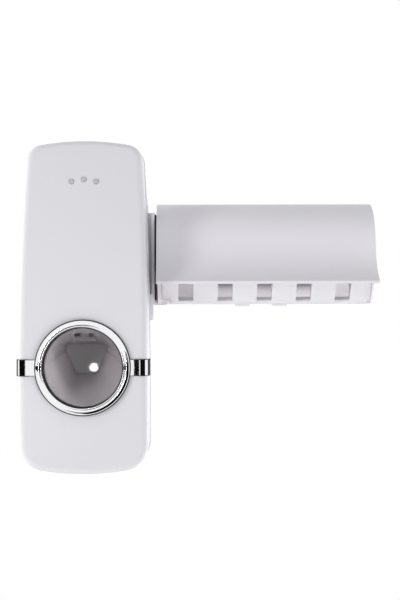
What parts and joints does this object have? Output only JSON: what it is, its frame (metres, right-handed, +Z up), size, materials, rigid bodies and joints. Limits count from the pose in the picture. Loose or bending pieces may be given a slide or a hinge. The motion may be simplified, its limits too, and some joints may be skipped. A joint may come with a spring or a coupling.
{
  "type": "toothpaste dispenser",
  "caption": "Wall-hung push-in toothpaste dispenser with a chrome-ringed smoked cup, and a lidded brush holder clipped to its side.",
  "frame": {"origin": "centre of the dispenser's adhesive pad, on the wall", "axes": "+Y into the wall, +Z up, +X to the right seen from the front, along which the dispenser and the brush holder hang side by side"},
  "size_m": [0.1797, 0.0635, 0.1658],
  "materials": {
    "shell": "glossy white ABS",
    "housing": "glossy white ABS",
    "holder": "satin white ABS",
    "inner": "matt grey plastic",
    "chrome": "bright plated plastic",
    "smoked": "smoked clear plastic",
    "pips": "grey plastic",
    "rubber": "pale silicone rubber",
    "steel": "zinc-plated steel",
    "foam": "white foam tape"
  },
  "bodies": {
    "wall_mount": {"dispenser_adhesive_pad": "foam", "dispenser_wall_plate": "housing", "holder_adhesive_pad": "foam", "holder_wall_plate": "holder"},
    "dispenser": {"rear_housing": "housing", "side_bracket": "housing", "pump_chassis": "inner", "chassis_screws": "steel", "inlet_collar": "rubber", "valve_block": "inner", "inlet_valve": "rubber", "outlet_valve": "rubber", "outlet_duct": "inner", "nozzle_tip": "rubber", "riser_duct": "inner", "pump_cylinder": "inner", "cup_pivot_pins": "steel", "return_spring": "steel"},
    "cover": {"front_cover": "shell", "chrome_ring": "chrome", "cover_pips": "pips"},
    "cup": {"push_cup": "smoked", "cup_carrier": "inner"},
    "pump_piston": {"piston": "inner", "piston_seal": "rubber"},
    "brush_holder": {"holder_case": "holder", "brush_comb": "holder"},
    "lid": {"holder_lid": "holder"}
  },
  "joints": [
    {"name": "dispenser_lift", "type": "slide", "parent": "wall_mount", "child": "dispenser", "axis": [0, 0, 1], "range_m": [0, 0.05]},
    {"name": "cover_pull", "type": "slide", "parent": "dispenser", "child": "cover", "axis": [0, -1, 0], "range_m": [0, 0.04]},
    {"name": "cup_swing", "type": "hinge", "parent": "dispenser", "child": "cup", "pos_m": [0, -0.046, -0.006], "axis": [1, 0, 0], "range_deg": [0, 12], "stiffness_Nm_per_rad": 0.3, "springref_deg": -17.19, "deforming": ["return_spring"]},
    {"name": "piston_slide", "type": "slide", "parent": "dispenser", "child": "pump_piston", "axis": [0, 1, 0], "range_m": [0, 0.0064]},
    {"name": "holder_lift", "type": "slide", "parent": "dispenser", "child": "brush_holder", "axis": [0, 0, 1], "range_m": [0, 0.034]},
    {"name": "lid_swing", "type": "hinge", "parent": "brush_holder", "child": "lid", "pos_m": [0.0913, -0.0095, 0.0486], "axis": [-1, 0, 0], "range_deg": [0, 100]}
  ],
  "couplings": [
    {"joint": "piston_slide", "follows": "cup_swing", "m_per_rad": 0.0299}
  ]
}
